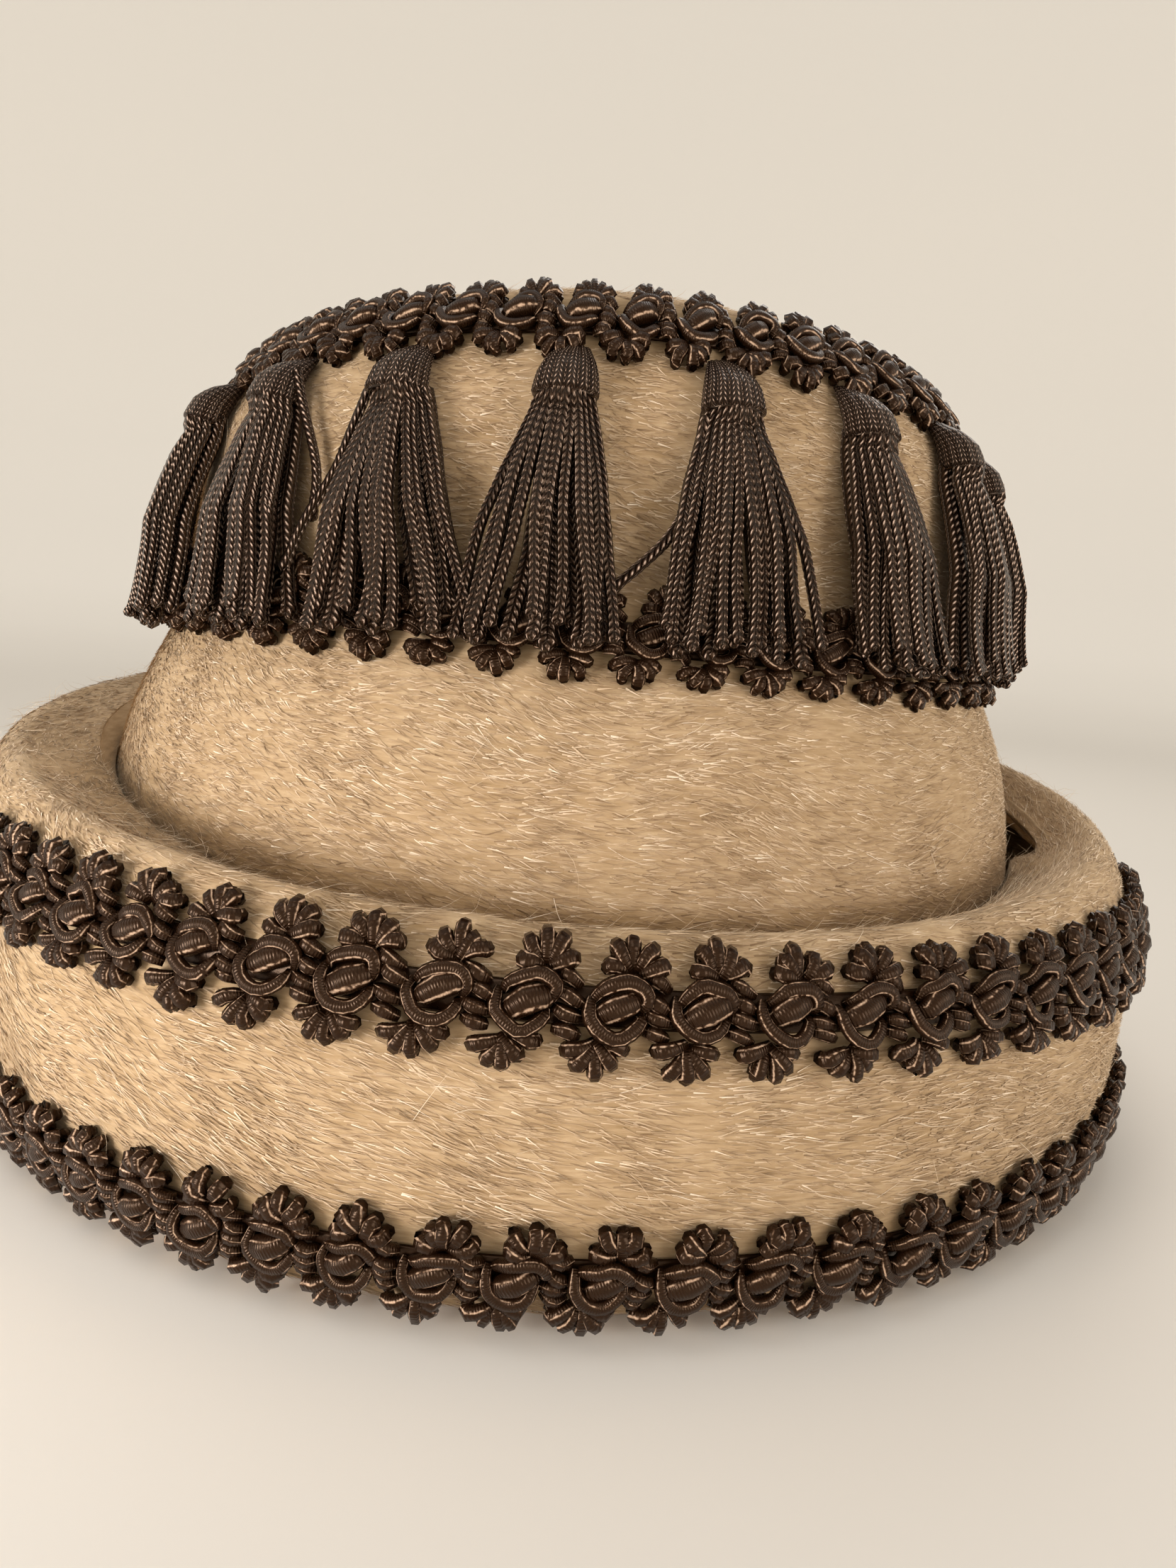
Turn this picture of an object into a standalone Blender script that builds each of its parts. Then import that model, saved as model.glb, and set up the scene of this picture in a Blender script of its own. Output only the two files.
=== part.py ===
"""A tall felt hat with a turned-up cuff brim, four rings of scroll braid and a row of tassels.

The crown and the brim are hollow felt walls. Each braid is a plain band that follows the felt, and each
tassel is one solid of its outer form, a bound head over a flared skirt. The fold of the brim rests on
z = 0, +Z is up, -X is the front of the hat, and the origin is under the middle of the head opening.
"""

import math
from collections import namedtuple

import bpy
from mathutils import Vector

MM = 0.001

# Driving sizes in millimetres
HEAD_LENGTH = 193.0         # outside of the crown at the head band, front to back
HEAD_WIDTH = 187.0          # outside of the crown at the head band, side to side
CROWN_HEIGHT = 156.7        # from the floor to the top of the crown, at its middle
TIP_DIP = 3.5               # how much lower the shoulder of the crown is at its front and back ends
TIP_LEAN = 3.0              # how far the tip of the crown leans towards the back
FELT = 2.4                  # thickness of the felt
SEAM_GAP = 0.4              # clearance between the cut edge of the crown and the fold that it sits on

BRIM_REACH = 24.5           # widest part of the brim beyond the head band
BRIM_HEIGHT = 67.6          # height of the cuff, averaged around the hat
BRIM_FRONT_RISE = 3.2       # the cuff is this much taller at the front and shorter at the back
BRIM_FAR_RISE = 11.2        # the cuff is this much taller at the far side, +Y, and shorter at the near one
LIP_DROP = 6.5              # how deep the rolled lip of the brim goes down beside the crown
LIP_SHALLOW = 0.95          # share of that drop missing at the front of the hat
LIP_GROOVE = 5.0            # widest part of the groove between that lip and the crown
LIP_CLOSED_AT = -68.0       # the lip lies against the crown here, in degrees from +X towards +Y
LIP_CLOSED_SPREAD = 28.0    # and this far on either side
LIP_RAMP = 20.0             # degrees in which the groove opens past that
LIP_PINCH = 6.5             # how much further a pinch moves the lip away from the crown
LIP_PINCH_AT = 20.0         # where the pinch is
LIP_PINCH_SPREAD = 22.0     # how far the pinch reaches on either side

BRAID_WIDTH = 17.0          # width of every braid, along the felt
BRAID_THICK = 3.0           # body of a braid, without its loops
TRIM_GAP = 0.35             # clearance of a braid or a tassel to what carries it
LOWER_BRAID_Z = 3.0         # lower edge of the braid beside the floor
UPPER_BRAID_BELOW = 19.6    # middle of the braid at the top of the cuff, below the cuff's height
UPPER_BRAID_SLOPE = -0.026  # rise of that braid towards +X, per millimetre
WAIST_BRAID_Z = 86.0        # lower edge of the braid at the waist of the crown
WAIST_BRAID_SLOPE = -0.023  # rise of that edge towards +X, per millimetre
TOP_BRAID_Z = 135.3         # lower edge of the braid at the shoulder of the crown

TASSELS = 18
TASSEL_FIRST_AT = -94.0     # where the first tassel is, in degrees from +X towards +Y
TASSEL_LENGTH = 46.0        # from the lower edge of the top braid to the cut ends
TASSEL_BROAD = 24.0         # the flared cords at their ends
TASSEL_DEEP = 7.0           # thickest part of a tassel, off the felt

SEGMENTS = 56               # around the crown, the brim and the braids
BRAID_SPAN = 4.25           # longest straight span across the inner side of a braid
TASSEL_SIDES = 8
FINE_STEPS = 8              # steps in a span where a length along the felt is measured

# Outside of the crown from its cut edge to the tip. height is a share of CROWN_HEIGHT, length and
# width are shares of half the head length and half the head width, dip is a share of TIP_DIP.
Section = namedtuple("Section", "height length width dip")
CROWN_SECTIONS = (
    Section(0.0, 0.997, 0.997, 0.0),
    Section(0.130, 1.008, 1.008, 0.0),
    Section(0.270, 1.006, 1.006, 0.0),
    Section(0.340, 0.998, 0.998, 0.0),
    Section(0.400, 0.982, 0.980, 0.0),
    Section(0.460, 0.957, 0.952, 0.0),
    Section(0.515, 0.920, 0.912, 0.0),
    Section(0.565, 0.885, 0.868, 0.0),
    Section(0.640, 0.862, 0.826, 0.1),
    Section(0.735, 0.845, 0.790, 0.4),
    Section(0.825, 0.815, 0.758, 0.8),
    Section(0.875, 0.776, 0.722, 1.0),
    Section(0.920, 0.716, 0.668, 1.0),
    Section(0.953, 0.635, 0.595, 1.0),
    Section(0.978, 0.490, 0.460, 0.8),
    Section(0.994, 0.280, 0.260, 0.4),
    Section(1.000, 0.000, 0.000, 0.0),
)

# Outside of the brim from the head opening, under the fold, up the cuff and over to its rolled lip.
# reach is a share of BRIM_REACH, height of the cuff's height there, drop of LIP_DROP, groove of the
# groove's width there, and pinch of the pinch.
Fold = namedtuple("Fold", "reach height drop groove pinch")
BRIM_FOLDS = (
    Fold(-0.095, 0.000, 0.00, 0.00, 0.00),
    Fold(0.300, 0.000, 0.00, 0.00, 0.00),
    Fold(0.620, 0.010, 0.00, 0.00, 0.00),
    Fold(0.800, 0.055, 0.00, 0.00, 0.00),
    Fold(0.900, 0.150, 0.00, 0.00, 0.00),
    Fold(0.965, 0.300, 0.00, 0.00, 0.00),
    Fold(1.000, 0.470, 0.00, 0.00, 0.00),
    Fold(0.990, 0.620, 0.00, 0.00, 0.00),
    Fold(0.950, 0.760, 0.00, 0.00, 0.00),
    Fold(0.870, 0.890, 0.00, 0.00, 0.00),
    Fold(0.750, 0.970, 0.00, 0.05, 0.00),
    Fold(0.600, 1.000, 0.06, 0.15, 0.05),
    Fold(0.430, 1.000, 0.36, 0.40, 0.25),
    Fold(0.270, 1.000, 0.74, 0.72, 0.60),
    Fold(0.150, 1.000, 1.05, 0.80, 0.90),
    Fold(0.075, 1.000, 1.25, 0.50, 1.00),
    Fold(0.040, 1.000, 1.40, 0.12, 1.00),
)

# A tassel from its head to its cut ends. drop is a share of TASSEL_LENGTH, broad of TASSEL_BROAD,
# deep of TASSEL_DEEP, and stand of the braid and its gap that the skirt lies over.
Tuft = namedtuple("Tuft", "drop broad deep stand")
TASSEL_TUFTS = (
    Tuft(0.015, 0.32, 0.75, 0.0),
    Tuft(0.070, 0.42, 1.05, 0.0),
    Tuft(0.180, 0.41, 1.05, 0.0),
    Tuft(0.210, 0.37, 0.95, 0.0),
    Tuft(0.300, 0.48, 1.05, 0.2),
    Tuft(0.580, 0.74, 1.00, 1.0),
    Tuft(1.000, 1.00, 0.80, 1.0),
)

# Tassels that hang out of true: broad is a share of the others' breadth, and lean moves the cut ends
# towards the next tassel, as a share of TASSEL_BROAD.
Hang = namedtuple("Hang", "broad lean")
PLAIN_HANG = Hang(1.00, 0.00)
TASSEL_HANGS = {16: Hang(0.90, 0.10), 17: Hang(0.90, 0.15), 18: Hang(1.15, 0.21), 3: Hang(0.80, -0.05)}

FELT_TAN = (0.56, 0.40, 0.26, 1.0)
BRAID_BROWN = (0.045, 0.028, 0.024, 1.0)


def spline(values, v):
    """Value at row position v of a curve that passes smoothly through one value per row."""
    last = len(values) - 1
    i = min(int(v), last - 1)
    t = v - i
    before, here, after, beyond = (values[max(0, min(last, i + k))] for k in (-1, 0, 1, 2))
    slope_here = (after - before) / 2 if i > 0 else after - here
    slope_after = (beyond - here) / 2 if i + 1 < last else after - here
    return (here * (1 + 2 * t) * (1 - t) ** 2 + slope_here * t * (1 - t) ** 2
            + after * t * t * (3 - 2 * t) - slope_after * t * t * (1 - t))


def crown_point(angle, v):
    """Point of the crown's outside: an oval at each height, its front and back ends a little lower."""
    row = [spline([section[k] for section in CROWN_SECTIONS], v) for k in range(4)]
    height = CROWN_HEIGHT * row[0] - TIP_DIP * row[3] * math.cos(angle) ** 2
    bottom = FELT + SEAM_GAP
    return Vector((HEAD_LENGTH / 2 * row[1] * math.cos(angle) + TIP_LEAN * row[0] ** 2,
                   HEAD_WIDTH / 2 * row[2] * math.sin(angle),
                   bottom + height * (1 - bottom / CROWN_HEIGHT)))


def degrees_off(angle, place):
    """How far a direction is from a place around the hat, in degrees, either way."""
    return abs((math.degrees(angle) - place + 180) % 360 - 180)


def groove_width(angle):
    """Width of the groove beside the crown at this direction, none where the lip is closed."""
    ramp = max(0.0, min(1.0, (degrees_off(angle, LIP_CLOSED_AT) - LIP_CLOSED_SPREAD) / LIP_RAMP))
    return LIP_GROOVE * ramp * ramp * (3 - 2 * ramp)


def pinch_width(angle):
    """How far the pinch moves the lip at this direction, nothing past its spread."""
    return LIP_PINCH * math.cos(math.pi / 2 * min(1.0, degrees_off(angle, LIP_PINCH_AT) / LIP_PINCH_SPREAD)) ** 2


def brim_point(angle, v):
    """Point of the brim's outside: the head band's oval, widened by the reach of the row there."""
    reach, height, drop, groove, pinch = (spline([fold[k] for fold in BRIM_FOLDS], v) for k in range(5))
    grow = BRIM_REACH * reach + groove_width(angle) * groove + pinch_width(angle) * pinch
    cuff = BRIM_HEIGHT - BRIM_FRONT_RISE * math.cos(angle) + BRIM_FAR_RISE * math.sin(angle)
    return Vector(((HEAD_LENGTH / 2 + grow) * math.cos(angle), (HEAD_WIDTH / 2 + grow) * math.sin(angle),
                   cuff * height - LIP_DROP * drop * (1 - LIP_SHALLOW * min(0.0, math.cos(angle)) ** 2)))


def outward(surface, rows, angle, v):
    """Unit normal of a surface at a point, from its slopes along a row and up a section."""
    step = 0.02
    low, high = max(0.0, v - step), min(rows - 1.0, v + step)
    up = surface(angle, high) - surface(angle, low)
    along = surface(angle + step, v) - surface(angle - step, v)
    if along.length < 1e-6:
        return Vector((0, 0, 1))
    return along.cross(up).normalized()


def directions(count):
    """The directions of the segments around the hat."""
    return [2 * math.pi * k / count for k in range(count)]


def add_mesh(name, vertices, faces, colour, roughness):
    """A smooth mesh object of its own material from points in millimetres."""
    mesh = bpy.data.meshes.new(name)
    mesh.from_pydata([tuple(MM * c for c in p) for p in vertices], [], faces)
    mesh.validate()
    mesh.shade_smooth()
    mesh.set_sharp_from_angle(angle=math.radians(50))
    material = bpy.data.materials.new(name)
    material.use_nodes = True
    shader = material.node_tree.nodes["Principled BSDF"]
    shader.inputs["Base Color"].default_value = colour
    shader.inputs["Roughness"].default_value = roughness
    shader.inputs["Metallic"].default_value = 0.0
    mesh.materials.append(material)
    obj = bpy.data.objects.new(name, mesh)
    bpy.context.collection.objects.link(obj)
    return obj


def ring_faces(rings, count, closed=False):
    """Quads between rings of equal count, each ring before the next; closed joins the last to the first."""
    faces = []
    for r in range(rings if closed else rings - 1):
        a, b = r * count, ((r + 1) % rings) * count
        for k in range(count):
            n = (k + 1) % count
            faces.append((a + k, a + n, b + n, b + k))
    return faces


def make_crown():
    """The domed felt shell: outer rows up to the tip, then inner rows back to the cut edge."""
    rows = len(CROWN_SECTIONS)
    turn = directions(SEGMENTS)
    outer, inner = [], []
    for r in range(rows - 1):
        outer.append([crown_point(a, r) for a in turn])
        inner.append([p - FELT * outward(crown_point, rows, a, r) for a, p in zip(turn, outer[-1])])
    for p, q in zip(outer[0], inner[0]):
        q.z = p.z
    tip = crown_point(0, rows - 1)
    rings = inner[::-1] + outer
    vertices = [p for ring in rings for p in ring]
    faces = ring_faces(len(rings), SEGMENTS)
    below, above = len(vertices), len(vertices) + 1
    vertices += [tip - Vector((0, 0, FELT)), tip]
    top = (len(rings) - 1) * SEGMENTS
    for k in range(SEGMENTS):
        n = (k + 1) % SEGMENTS
        faces.append((n, k, below))
        faces.append((top + k, top + n, above))
    return add_mesh("crown", vertices, faces, FELT_TAN, 0.95)


def make_brim():
    """The turned-up cuff: one felt wall that follows the folds, its outside and its inside joined."""
    rows = len(BRIM_FOLDS)
    turn = directions(SEGMENTS)
    outer = [[brim_point(a, r) for a in turn] for r in range(rows)]
    inner = [[p - FELT * outward(brim_point, rows, a, r) for a, p in zip(turn, ring)]
             for r, ring in enumerate(outer)]
    rings = outer + inner[::-1]
    vertices = [p for ring in rings for p in ring]
    return add_mesh("brim", vertices, ring_faces(len(rings), SEGMENTS, closed=True), FELT_TAN, 0.95)


def lengths_up(surface, rows, angle):
    """Row positions up a section, and at each the height and the length along the felt so far."""
    steps = [k / FINE_STEPS for k in range((rows - 1) * FINE_STEPS + 1)]
    points = [surface(angle, v) for v in steps]
    run = [0.0]
    for p, q in zip(points, points[1:]):
        run.append(run[-1] + (q - p).length)
    return steps, [p.z for p in points], run


def between(x, xs, ys):
    """The value of ys where the rising xs reach x."""
    for x0, x1, y0, y1 in zip(xs, xs[1:], ys, ys[1:]):
        if x <= x1:
            return y0 + (y1 - y0) * max(0.0, (x - x0) / max(1e-9, x1 - x0))
    return ys[-1]


def on_felt(surface, rows, angle, edge, climb):
    """Row position on the felt that is climb millimetres along it above the height edge."""
    steps, heights, run = lengths_up(surface, rows, angle)
    return between(between(edge, heights, run) + climb, run, steps)


def make_band(name, surface, rows, edge):
    """A braid: a closed strip along the felt, its lower side at the height that edge gives."""
    spans = math.ceil(BRAID_WIDTH / BRAID_SPAN)
    inside = [BRAID_WIDTH * k / spans for k in range(spans + 1)]
    outside = [BRAID_WIDTH * share for share in (0.96, 0.5, 0.04)]
    rings = []
    for offset, climbs in ((TRIM_GAP, inside), (TRIM_GAP + BRAID_THICK, outside)):
        for climb in climbs:
            ring = []
            for a in directions(SEGMENTS):
                v = on_felt(surface, rows, a, edge(a), climb)
                ring.append(surface(a, v) + offset * outward(surface, rows, a, v))
            rings.append(ring)
    vertices = [p for ring in rings for p in ring]
    faces = ring_faces(len(rings), SEGMENTS, closed=True)
    return add_mesh(name, vertices, [tuple(reversed(f)) for f in faces], BRAID_BROWN, 0.45)


def top_edge(angle):
    """Height of the lower edge of the top braid."""
    return TOP_BRAID_Z - TIP_DIP * math.cos(angle) ** 2


def tassel_directions():
    """Directions that are equal lengths apart along the lower edge of the top braid."""
    count = 720
    first = math.radians(TASSEL_FIRST_AT)
    turn = [first + 2 * math.pi * k / count for k in range(count + 1)]
    rows = len(CROWN_SECTIONS)
    v = on_felt(crown_point, rows, first, top_edge(first), 0.0)
    points = [crown_point(a, v) for a in turn]
    run = [0.0]
    for p, q in zip(points, points[1:]):
        run.append(run[-1] + (q - p).length)
    return [between(run[-1] * k / TASSELS, run, turn) for k in range(TASSELS)]


def make_tassel(name, angle, hang):
    """One tassel: ovals stacked down the felt, out over the waist braid, with both ends closed."""
    rows = len(CROWN_SECTIONS)
    points = []
    for tuft in TASSEL_TUFTS:
        v = on_felt(crown_point, rows, angle, top_edge(angle), -TASSEL_LENGTH * tuft.drop)
        out = outward(crown_point, rows, angle, v)
        side = Vector((-math.sin(angle) * HEAD_LENGTH, math.cos(angle) * HEAD_WIDTH, 0)).normalized()
        deep = TASSEL_DEEP * tuft.deep
        broad = TASSEL_BROAD * tuft.broad * (1 + (hang.broad - 1) * tuft.drop)
        stand = TRIM_GAP + (BRAID_THICK + TRIM_GAP) * tuft.stand
        middle = crown_point(angle, v) + out * (stand + deep / 2)
        middle += side * TASSEL_BROAD * hang.lean * tuft.drop
        for k in range(TASSEL_SIDES):
            turn = 2 * math.pi * k / TASSEL_SIDES
            points.append(middle + side * (broad / 2 * math.cos(turn)) + out * (deep / 2 * math.sin(turn)))
    faces = ring_faces(len(TASSEL_TUFTS), TASSEL_SIDES)
    last = (len(TASSEL_TUFTS) - 1) * TASSEL_SIDES
    faces.append(tuple(reversed(range(TASSEL_SIDES))))
    faces.append(tuple(range(last, last + TASSEL_SIDES)))
    return add_mesh(name, points, faces, BRAID_BROWN, 0.5)


def clear_scene():
    """Remove every object of the start-up scene."""
    for obj in list(bpy.data.objects):
        bpy.data.objects.remove(obj)


def build():
    """The whole hat."""
    clear_scene()
    make_crown()
    make_brim()
    crown_rows, brim_rows = len(CROWN_SECTIONS), len(BRIM_FOLDS)
    half = HEAD_LENGTH / 2
    make_band("brim_lower_braid", brim_point, brim_rows, lambda a: LOWER_BRAID_Z)
    upper_edge = BRIM_HEIGHT - UPPER_BRAID_BELOW - BRAID_WIDTH / 2
    make_band("brim_upper_braid", brim_point, brim_rows,
              lambda a: upper_edge + UPPER_BRAID_SLOPE * (half + BRIM_REACH) * math.cos(a))
    make_band("waist_braid", crown_point, crown_rows,
              lambda a: WAIST_BRAID_Z + WAIST_BRAID_SLOPE * half * math.cos(a))
    make_band("top_braid", crown_point, crown_rows, top_edge)
    for k, angle in enumerate(tassel_directions()):
        make_tassel(f"tassel_{k + 1:02d}", angle, TASSEL_HANGS.get(k + 1, PLAIN_HANG))


build()
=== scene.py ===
"""The looks of a tall felt hat: long-napped felt, four rings of scroll gimp braid and plaited tassels.

Everything is worked out in millimetres on the felt's own two surfaces, and written to the meshes in metres.
A chart unrolls a belt of felt around the hat, so that a braid or a tassel is laid on it by the length
around, the climb up the felt and the lift off it. The crown and the brim repeat the section tables of the
CAD part.
"""

import math

import bpy
import numpy as np
from mathutils import Matrix


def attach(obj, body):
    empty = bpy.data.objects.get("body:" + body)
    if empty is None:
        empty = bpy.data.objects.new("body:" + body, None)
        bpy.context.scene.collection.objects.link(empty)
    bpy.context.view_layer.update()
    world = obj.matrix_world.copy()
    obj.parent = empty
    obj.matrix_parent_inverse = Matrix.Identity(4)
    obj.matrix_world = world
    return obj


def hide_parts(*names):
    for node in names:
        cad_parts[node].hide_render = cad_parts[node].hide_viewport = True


MM = 0.001

# Sizes of the CAD part, in millimetres
HEAD_LENGTH, HEAD_WIDTH, CROWN_HEIGHT = 193.0, 187.0, 156.7
TIP_DIP, TIP_LEAN = 3.5, 3.0
FELT, SEAM_GAP = 2.4, 0.4
BRIM_REACH, BRIM_HEIGHT, BRIM_FRONT_RISE, BRIM_FAR_RISE = 24.5, 67.6, 3.2, 11.2
LIP_DROP, LIP_SHALLOW, LIP_GROOVE = 6.5, 0.95, 5.0
LIP_CLOSED_AT, LIP_CLOSED_SPREAD, LIP_RAMP = -68.0, 28.0, 20.0
LIP_PINCH, LIP_PINCH_AT, LIP_PINCH_SPREAD = 6.5, 20.0, 22.0
BRAID_WIDTH, BRAID_THICK, TRIM_GAP = 17.0, 3.0, 0.35
LOWER_BRAID_Z = 3.0
UPPER_BRAID_Z, UPPER_BRAID_SLOPE = 39.5, -0.026
WAIST_BRAID_Z, WAIST_BRAID_SLOPE = 86.0, -0.023
TOP_BRAID_Z = 135.3
TASSELS, TASSEL_FIRST_AT = 18, -94.0
TASSEL_LENGTH, TASSEL_BROAD, TASSEL_DEEP = 46.0, 24.0, 7.0

# Outside of the crown from its cut edge to the tip: height, length, width and dip of each section
CROWN_SECTIONS = np.array((
    (0.0, 0.997, 0.997, 0.0), (0.130, 1.008, 1.008, 0.0), (0.270, 1.006, 1.006, 0.0),
    (0.340, 0.998, 0.998, 0.0), (0.400, 0.982, 0.980, 0.0), (0.460, 0.957, 0.952, 0.0),
    (0.515, 0.920, 0.912, 0.0), (0.565, 0.885, 0.868, 0.0), (0.640, 0.862, 0.826, 0.1),
    (0.735, 0.845, 0.790, 0.4), (0.825, 0.815, 0.758, 0.8), (0.875, 0.776, 0.722, 1.0),
    (0.920, 0.716, 0.668, 1.0), (0.953, 0.635, 0.595, 1.0), (0.978, 0.490, 0.460, 0.8),
    (0.994, 0.280, 0.260, 0.4), (1.0, 0.0, 0.0, 0.0)))

# Outside of the brim from the head opening to its lip: reach, height, drop, groove and pinch of each fold
BRIM_FOLDS = np.array((
    (-0.095, 0.000, 0.00, 0.00, 0.00), (0.300, 0.000, 0.00, 0.00, 0.00), (0.620, 0.010, 0.00, 0.00, 0.00),
    (0.800, 0.055, 0.00, 0.00, 0.00), (0.900, 0.150, 0.00, 0.00, 0.00), (0.965, 0.300, 0.00, 0.00, 0.00),
    (1.000, 0.470, 0.00, 0.00, 0.00), (0.990, 0.620, 0.00, 0.00, 0.00), (0.950, 0.760, 0.00, 0.00, 0.00),
    (0.870, 0.890, 0.00, 0.00, 0.00), (0.750, 0.970, 0.00, 0.05, 0.00), (0.600, 1.000, 0.06, 0.15, 0.05),
    (0.430, 1.000, 0.36, 0.40, 0.25), (0.270, 1.000, 0.74, 0.72, 0.60), (0.150, 1.000, 1.05, 0.80, 0.90),
    (0.075, 1.000, 1.25, 0.50, 1.00), (0.040, 1.000, 1.40, 0.12, 1.00)))

# How far down a tassel each section is, and its breadth, depth and stand off the felt
TASSEL_TUFTS = np.array((
    (0.015, 0.32, 0.75, 0.0), (0.070, 0.42, 1.05, 0.0), (0.180, 0.41, 1.05, 0.0), (0.210, 0.37, 0.95, 0.0),
    (0.300, 0.48, 1.05, 0.2), (0.580, 0.74, 1.00, 1.0), (1.000, 1.00, 0.80, 1.0)))
# Breadth and lean of the tassels that hang out of true
TASSEL_HANGS = {16: (0.90, 0.10), 17: (0.90, 0.15), 18: (1.15, 0.21), 3: (0.80, -0.05)}

# The camera, fitted to the photograph, in millimetres and radians
CAMERA_BACK, CAMERA_UP = 248.0, 97.6
CAMERA_PITCH, CAMERA_ROLL, CAMERA_YAW = 0.159, -0.072, 0.023
CAMERA_FOCAL_PIXELS, PICTURE_LONG_SIDE, SENSOR = 1534.0, 2212.0, 36.0

# Felt walls
FELT_TURNS = 168          # quads around a felt wall
FELT_STEPS = 4            # quads in each span of its table
FELT_WAVE = 0.18          # how far the felt wanders off its true surface
FELT_WAVE_LENGTH = 22.0
FLOW_SQUEEZE = 0.14       # the felt's noise is drawn out around the hat to this share
LIP_TUCK = 4.5            # how far the lip's edge turns down to the crown
LIP_CLEAR = 0.45          # clearance of that edge to the crown
LIP_OPEN_DROP = 1.5       # how far the edge turns down where the slit is open
SLIT_AT = -3.0            # direction of the slit between the crown and the lip, in degrees from +X
SLIT_HALF = 6.0           # the slit is wide open this far on either side
SLIT_RAMP = 9.0           # degrees in which it closes past that
SLIT_CURL = 9.0           # how far the lip curls back there
SLIT_ROW = 14.0           # fold of the brim from which it curls back
# Painted shade: the felt's tone is darker in the groove between the crown and the lip, where shade falls
GROOVE_BELOW = 1.0        # the groove is dark from this far below the cuff's height
GROOVE_RAMP = 2.5         # height in which it darkens
GROOVE_PAINTED_SHADE = 0.19        # how much its tone falls

# Nap
CROWN_HAIRS = 114000
BRIM_HAIRS = 104000
HAIR_LENGTH = (1.6, 3.8)
HAIR_BREADTH = 0.225
HAIR_LIFT = (0.10, 0.55)
ROOT_LIFT = 0.03
HAIR_SLANT = -0.16        # slant of the hairs at the middle of the hat, in radians
HAIR_TURN = 0.16          # how much the slant changes along the hat
HAIR_SWIRL = 0.22         # slant of the swirls, each about SWIRL_LENGTH long
SWIRL_LENGTH = 34.0
HAIR_MESS = 0.20          # spread of the slant from hair to hair
PATCH_TONE = 0.11         # tone of patches, each about PATCH_LENGTH long
PATCH_LENGTH = 5.0
HAIR_TONE = 0.18          # spread of the tone from hair to hair
STRAY_HAIRS = 1900        # longer fine hairs that stand out
STRAY_LENGTH = (4.0, 9.0)
STRAY_RADIUS = 0.05
LIP_HAIRS = 1500          # more of them on the rolled lip
BARE_FROM = 3.5           # no hair roots from this far above a braid's lower edge
BARE_TO = 13.0            # to this far above it
BARE_FAR_TO = 13.5        # or this far on the lower and the top braid
CUFF_CLIMB = 52.0         # up to this climb the brim is the outside of the cuff
# Height of the edge of each belt of nap, and the lowest and the highest climb from it
CROWN_BELT = (48.0, 0.0, 168.0)
BRIM_BELT = (0.7, -6.0, 118.0)
# Lowest and highest climb of the roots of the nap and of its stray hairs, and lifts of those
CROWN_ROOTS, BRIM_ROOTS = (1.0, 160.0), (-3.0, 96.0)
CROWN_STRAYS, BRIM_STRAYS, LIP_STRAYS = (2.0, 150.0), (0.0, 90.0), (68.0, 90.0)
STRAY_LIFT, LIP_LIFT = (0.3, 2.2), (1.0, 3.6)

# Gimp
MOTIF_PITCH = 11.15       # length around of one motif
MOTIF_SHIFT = 0.22        # how far the cords of a motif stray from their places
POINT_SHIFT = 0.13        # how far each point of a cord strays besides
MOTIF_SPREAD = (0.93, 1.07)   # how much thinner or thicker a cord is from motif to motif
# Share of the length, and lift, of each point of a fan's loop
LOOP_PROFILE = ((0.08, 1.3), (0.48, 2.3), (0.80, 2.4), (0.93, 1.5), (0.84, 0.6))
THREAD = 0.36             # length along a cord of one turn of the thread round it
# Painted highlight lines on a cord: their place around it, half width and strength
PAINTED_HIGHLIGHT_PLACES = ((0.38, 0.036, 1.0), (0.65, 0.026, 0.7))
LINE_DRIFT = 0.12         # how far around it they wander
# Climb and lift of the dark strip that the cords lie on: the braid's ground, which also stands in for the
# shade between the cords
BELT_CLIMBS, BELT_LIFTS = (5.9, 6.3, 8.5, 10.7, 11.1, 8.5), (0.3, 0.7, 0.9, 0.7, 0.3, 0.2)
BELT_COLUMNS = 200

# Tassels
STITCH = 1.3              # length of one stitch of a plaited cord
STITCH_SLANT = 4.4        # stitches that a column slants by, over the way around the cord
CORD_RADIUS = 0.82
FRONT_CORDS, BACK_CORDS = 12, 9
BACK_DEPTH = 0.25         # lift of the back cords, as a share of the front ones' oval
BACK_THICK = 1.4          # how many times thicker the back cords are
NECK = 0.13               # share of the length down at which the cords start, inside the cap
CORD_ENDS = (-0.07, 0.05)   # how much longer or shorter a cord is, as a share
CORD_BUNCH = 0.07         # how far cords gather in bunches, as a share of the half breadth
CORD_MESS = 0.09          # spread of their places from cord to cord, as the same share
CORD_SWAY = 0.6           # how far a cord sways aside on its way down
LIFT_MESS = 0.65          # spread of the lift from cord to cord
CORD_KNOT = 2.6           # length of the loose knot at its end
CORD_SIDES, FRONT_RINGS, BACK_RINGS = 5, 66, 30
STRAY_SIDES, STRAY_RINGS = 6, 50
CAP_ROWS, CAP_KNITS = 11, 16
CAP_STITCHES = 1.7        # how many times finer than a cord's its stitches are
KNIT_LIFT = 0.22          # how far each of its columns bulges
BIND_AT = 0.165           # share of the length down at which the thread is bound
BIND_RADIUS = 0.28
# Breadth of the skirt, cord to cord, at shares of the length down
SKIRT = np.array(((0.13, 8.2), (0.19, 9.8), (0.28, 12.0), (0.43, 15.2), (0.63, 18.4), (0.83, 20.6),
                  (1.0, 22.4)))
# Breadth and depth of the knitted cap at shares of the length down
CAP = np.array(((-0.05, 5.0, 1.4), (0.0, 6.4, 3.2), (0.04, 7.6, 5.2), (0.09, 8.7, 6.8),
                (0.15, 9.5, 7.4), (0.162, 9.1, 7.2), (0.167, 7.8, 6.6)))
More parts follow.
